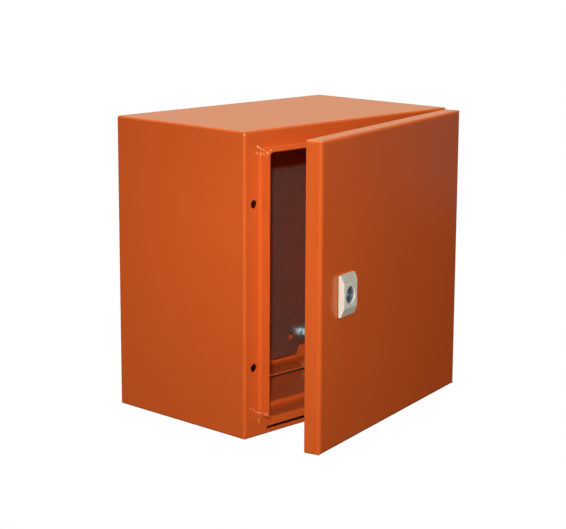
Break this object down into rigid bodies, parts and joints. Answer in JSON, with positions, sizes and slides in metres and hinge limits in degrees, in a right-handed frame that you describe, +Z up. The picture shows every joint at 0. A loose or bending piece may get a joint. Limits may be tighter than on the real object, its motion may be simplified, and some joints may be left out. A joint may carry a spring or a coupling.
{
  "type": "steel wall enclosure",
  "caption": "Square wall-mounted box of folded sheet steel with a hinged door, a quarter-turn lock, a rain-lipped mouth, a mounting plate and a blanked cable opening in its floor.",
  "frame": {"origin": "centre of the four wall-fixing holes, on the outside of the back panel", "axes": "+Y points into the wall, the door faces -Y, +Z is up and +X is to the right as seen from the front, where the hinges are"},
  "size_m": [0.3007, 0.2686, 0.3],
  "materials": {
    "paint": "orange powder coat, semi-gloss with a fine orange peel",
    "galvanised": "galvanised sheet, dull",
    "zinc": "bright zinc plating",
    "lock_plastic": "cream moulded plastic, satin",
    "foam": "black closed-cell foam"
  },
  "bodies": {
    "body": {"body_shell": "paint", "back_panel": "paint", "mounting_plate": "galvanised", "plate_studs": "zinc", "plate_washers": "zinc", "plate_nuts": "zinc", "gland_plate": "paint", "gland_gasket": "foam", "gland_screws": "zinc", "gland_nuts": "zinc", "body_earth_stud": "zinc", "body_earth_nuts": "zinc", "upper_hinge_body_leaf": "zinc", "lower_hinge_body_leaf": "zinc", "upper_hinge_pin": "zinc", "lower_hinge_pin": "zinc", "hinge_screws": "zinc", "hinge_washers": "zinc"},
    "door": {"door_panel": "paint", "door_seal": "foam", "upper_hinge_door_leaf": "zinc", "lower_hinge_door_leaf": "zinc", "door_earth_stud": "zinc", "door_earth_nuts": "zinc", "lock_housing": "lock_plastic", "lock_seal": "foam", "lock_nut": "zinc"},
    "lock_spindle": {"lock_insert": "zinc", "lock_cam": "zinc", "cam_washer": "zinc", "cam_screw": "zinc"}
  },
  "joints": [
    {"name": "door_swing", "type": "hinge", "parent": "body", "child": "door", "pos_m": [0.1446, -0.191, 0], "axis": [0, 0, 1], "range_deg": [-13.7, 96.3]},
    {"name": "lock_turn", "type": "hinge", "parent": "door", "child": "lock_spindle", "pos_m": [-0.09344, -0.25829, -0.0016], "axis": [-0.2368, 0.9715, 0], "range_deg": [0, 90]}
  ]
}
